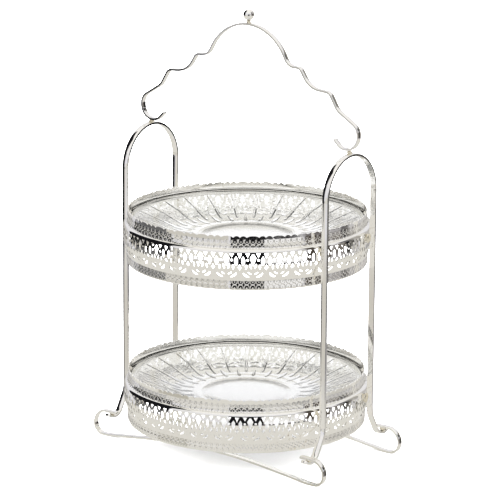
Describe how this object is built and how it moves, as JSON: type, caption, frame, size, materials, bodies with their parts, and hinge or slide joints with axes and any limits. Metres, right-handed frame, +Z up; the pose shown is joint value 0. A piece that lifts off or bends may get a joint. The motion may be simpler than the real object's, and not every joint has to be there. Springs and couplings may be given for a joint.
{
  "type": "tiered cake stand",
  "caption": "Two-tier cake stand with arched strip legs, curled runners, a scrolled carrying handle, pierced plated galleries and loose pressed-glass dishes.",
  "frame": {"origin": "on the table under the middle of the stand", "axes": "+Z up, +X to the right through both arches, +Y to the back, across the handle"},
  "size_m": [0.2534, 0.217, 0.3898],
  "materials": {
    "silver_plate": "mirror-polished silver plate",
    "silver_solder": "plated solder joint",
    "pressed_glass": "clear pressed glass"
  },
  "bodies": {
    "stand": {"left_arch": "silver_plate", "right_arch": "silver_plate", "front_runner": "silver_plate", "back_runner": "silver_plate", "handle": "silver_plate", "finial_collar": "silver_plate", "finial_ball": "silver_plate", "lower_gallery": "silver_plate", "lower_dish_ledge": "silver_plate", "upper_gallery": "silver_plate", "upper_dish_ledge": "silver_plate", "lower_gallery_solder_front_left": "silver_solder", "lower_gallery_solder_front_right": "silver_solder", "lower_gallery_solder_back_left": "silver_solder", "lower_gallery_solder_back_right": "silver_solder", "upper_gallery_solder_front_left": "silver_solder", "upper_gallery_solder_front_right": "silver_solder", "upper_gallery_solder_back_left": "silver_solder", "upper_gallery_solder_back_right": "silver_solder", "handle_solder_left": "silver_solder", "handle_solder_right": "silver_solder", "runner_solder_front_left": "silver_solder", "runner_solder_front_right": "silver_solder", "runner_solder_back_left": "silver_solder", "runner_solder_back_right": "silver_solder"},
    "lower_dish": {"lower_glass_dish": "pressed_glass"},
    "upper_dish": {"upper_glass_dish": "pressed_glass"}
  },
  "joints": [
    {"name": "lower_dish_lift", "type": "slide", "parent": "stand", "child": "lower_dish", "axis": [0, 0, 1], "range_m": [0, 0.095]},
    {"name": "upper_dish_lift", "type": "slide", "parent": "stand", "child": "upper_dish", "axis": [0, 0, 1], "range_m": [0, 0.065]}
  ]
}
